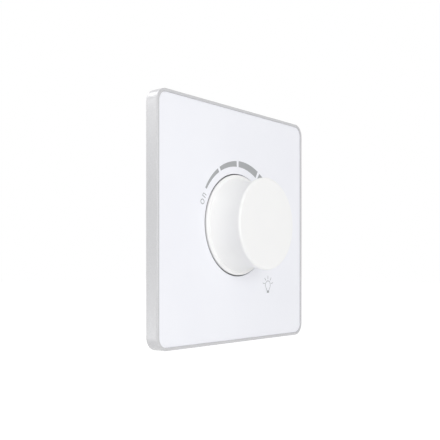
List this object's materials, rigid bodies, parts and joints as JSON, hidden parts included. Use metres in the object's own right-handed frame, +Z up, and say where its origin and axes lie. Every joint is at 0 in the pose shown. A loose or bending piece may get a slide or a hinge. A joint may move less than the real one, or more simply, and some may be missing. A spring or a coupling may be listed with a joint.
{
  "type": "rotary wall dimmer",
  "caption": "Square flush wall dimmer with a large waisted push-on rotary knob, a switched potentiometer and screw terminals behind.",
  "frame": {"origin": "middle of the plate on the wall's surface, on the knob's axis", "axes": "+Y into the wall along the knob's axis, +Z up, +X right as seen from the room"},
  "size_m": [0.086, 0.0428, 0.086],
  "materials": {
    "white_panel": "moulded, high gloss",
    "white_knob": "moulded, satin gloss",
    "satin_grey_frame": "satin silver-grey lacquer on plastic",
    "grey_moulding": "moulded, fine matt",
    "dark_moulding": "moulded, fine matt",
    "spring_steel": "oiled spring steel",
    "zinc_steel": "zinc plated",
    "bright_steel": "turned and bright",
    "zinc_casting": "die-cast zinc",
    "phenolic": "phenolic laminate",
    "black_phenolic": "moulded phenolic",
    "white_nylon": "moulded nylon",
    "phosphor_bronze": "rolled strip",
    "tinned_brass": "tin plated",
    "nickel_brass": "nickel plated",
    "glass_epoxy": "green solder mask",
    "bare_aluminium": "rolled sheet",
    "black_epoxy": "moulded epoxy",
    "powder_core": "painted iron powder",
    "enamelled_copper": "enamelled copper wire",
    "film_capacitor_case": "moulded case",
    "resistor_lacquer": "lacquered ceramic",
    "diode_glass": "glass",
    "fuse_glass": "clear glass"
  },
  "bodies": {
    "housing": {"cover_frame": "satin_grey_frame", "face_panel": "white_panel", "base_moulding": "grey_moulding", "rear_cover": "dark_moulding", "rear_screws": "zinc_steel", "pot_bushing": "zinc_casting", "pot_washer": "zinc_steel", "pot_nut": "zinc_steel", "resistive_wafer": "phenolic", "pot_lugs": "tinned_brass", "pot_can": "zinc_steel", "switch_housing": "black_phenolic", "switch_leaf": "phosphor_bronze", "switch_contact": "tinned_brass", "circuit_board": "glass_epoxy", "heat_sink": "bare_aluminium", "triac": "black_epoxy", "triac_screw": "zinc_steel", "choke_core": "powder_core", "choke_winding": "enamelled_copper", "filter_capacitor": "film_capacitor_case", "timing_capacitors": "film_capacitor_case", "resistors": "resistor_lacquer", "diac": "diode_glass", "fuse_tube": "fuse_glass", "fuse_caps": "nickel_brass", "fuse_clips": "tinned_brass", "terminal_block": "black_phenolic", "terminal_cages": "nickel_brass", "terminal_screws": "zinc_steel"},
    "dial": {"knob": "white_knob", "knob_clip": "spring_steel", "pot_shaft": "bright_steel", "shaft_ring": "spring_steel", "pot_rotor": "white_nylon", "wiper": "phosphor_bronze", "switch_cam": "white_nylon"}
  },
  "joints": [
    {"name": "knob_turn", "type": "hinge", "parent": "housing", "child": "dial", "pos_m": [0, 0, 0], "axis": [0, 1, 0], "range_deg": [0, 230]}
  ]
}
